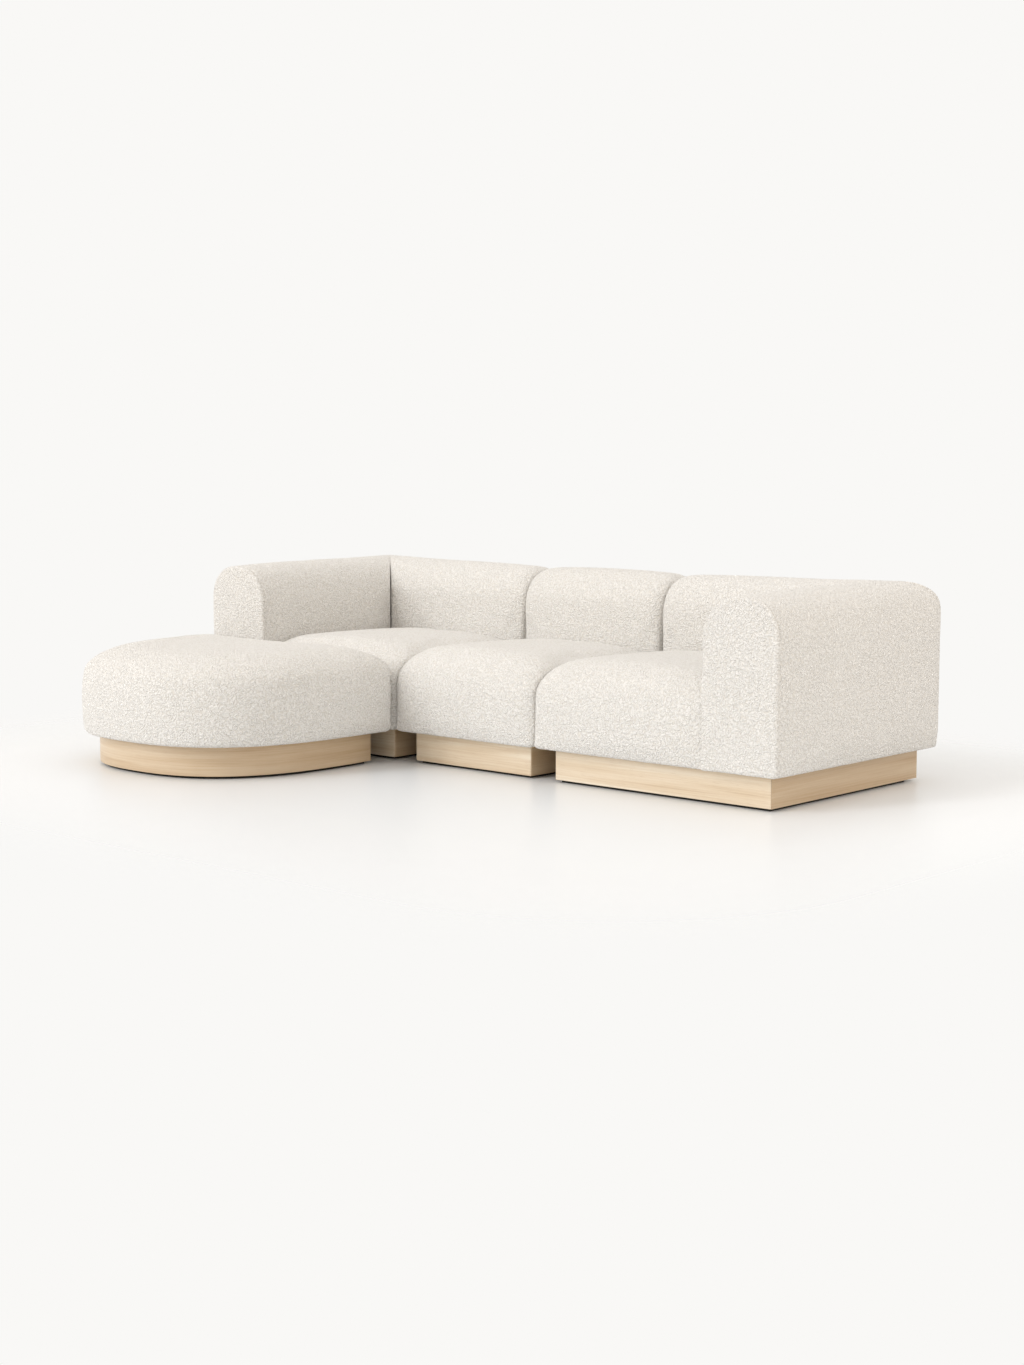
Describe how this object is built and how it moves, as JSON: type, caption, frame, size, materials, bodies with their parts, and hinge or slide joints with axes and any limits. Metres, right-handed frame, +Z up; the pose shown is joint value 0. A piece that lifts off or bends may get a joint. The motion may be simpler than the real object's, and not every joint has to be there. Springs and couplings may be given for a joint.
{
  "type": "modular sectional sofa with ottoman",
  "caption": "Low modular sectional sofa: two corner modules, an armless middle module and a D-shaped ottoman, boucle upholstery on recessed oak plinths.",
  "frame": {"origin": "on the floor, at the centre of the whole sofa's footprint", "axes": "+X to the right as seen from the front, -Y towards the front and the ottoman, +Z up"},
  "size_m": [2.8356, 1.906, 0.716],
  "materials": {
    "boucle_fabric": "looped cream boucle over foam",
    "oak": "light oak veneer, matt lacquer",
    "birch_plywood": "sanded birch plywood",
    "pine": "planed pine",
    "black_base": "black laminate",
    "spring_unit": "pocketed springs in a non-woven cover",
    "zinc_steel": "zinc-plated pressed steel"
  },
  "bodies": {
    "middle_module": {"middle_back_cushion": "boucle_fabric", "middle_back_panel": "birch_plywood", "middle_base_board": "black_base", "middle_clip_jaw_back": "zinc_steel", "middle_clip_jaw_front": "zinc_steel", "middle_clip_tongue_back": "zinc_steel", "middle_clip_tongue_front": "zinc_steel", "middle_deck": "birch_plywood", "middle_plinth_back": "oak", "middle_plinth_front": "oak", "middle_plinth_left": "oak", "middle_plinth_rail": "pine", "middle_plinth_right": "oak", "middle_seat_cushion": "boucle_fabric", "middle_spring_unit": "spring_unit"},
    "left_module": {"left_arm_cushion": "boucle_fabric", "left_arm_panel": "birch_plywood", "left_back_cushion": "boucle_fabric", "left_back_panel": "birch_plywood", "left_base_board": "black_base", "left_clip_tongue_back": "zinc_steel", "left_clip_tongue_front": "zinc_steel", "left_deck": "birch_plywood", "left_plinth_back": "oak", "left_plinth_front": "oak", "left_plinth_left": "oak", "left_plinth_rail": "pine", "left_plinth_right": "oak", "left_seat_cushion": "boucle_fabric", "left_spring_unit": "spring_unit"},
    "right_module": {"right_arm_cushion": "boucle_fabric", "right_arm_panel": "birch_plywood", "right_back_cushion": "boucle_fabric", "right_back_panel": "birch_plywood", "right_base_board": "black_base", "right_clip_jaw_back": "zinc_steel", "right_clip_jaw_front": "zinc_steel", "right_deck": "birch_plywood", "right_plinth_back": "oak", "right_plinth_front": "oak", "right_plinth_left": "oak", "right_plinth_rail": "pine", "right_plinth_right": "oak", "right_seat_cushion": "boucle_fabric", "right_spring_unit": "spring_unit"},
    "ottoman": {"ottoman_base_board": "black_base", "ottoman_deck": "birch_plywood", "ottoman_plinth_back": "oak", "ottoman_plinth_front": "oak", "ottoman_plinth_left": "oak", "ottoman_plinth_rail": "pine", "ottoman_plinth_right": "oak", "ottoman_seat_cushion": "boucle_fabric", "ottoman_spring_unit": "spring_unit"}
  },
  "joints": [
    {"name": "left_module_slide", "type": "slide", "parent": "middle_module", "child": "left_module", "axis": [-1, 0, 0], "range_m": [0, 0.4]},
    {"name": "right_module_slide", "type": "slide", "parent": "middle_module", "child": "right_module", "axis": [1, 0, 0], "range_m": [0, 0.4]},
    {"name": "ottoman_slide", "type": "slide", "parent": "middle_module", "child": "ottoman", "axis": [0, -1, 0], "range_m": [0, 0.6]}
  ]
}
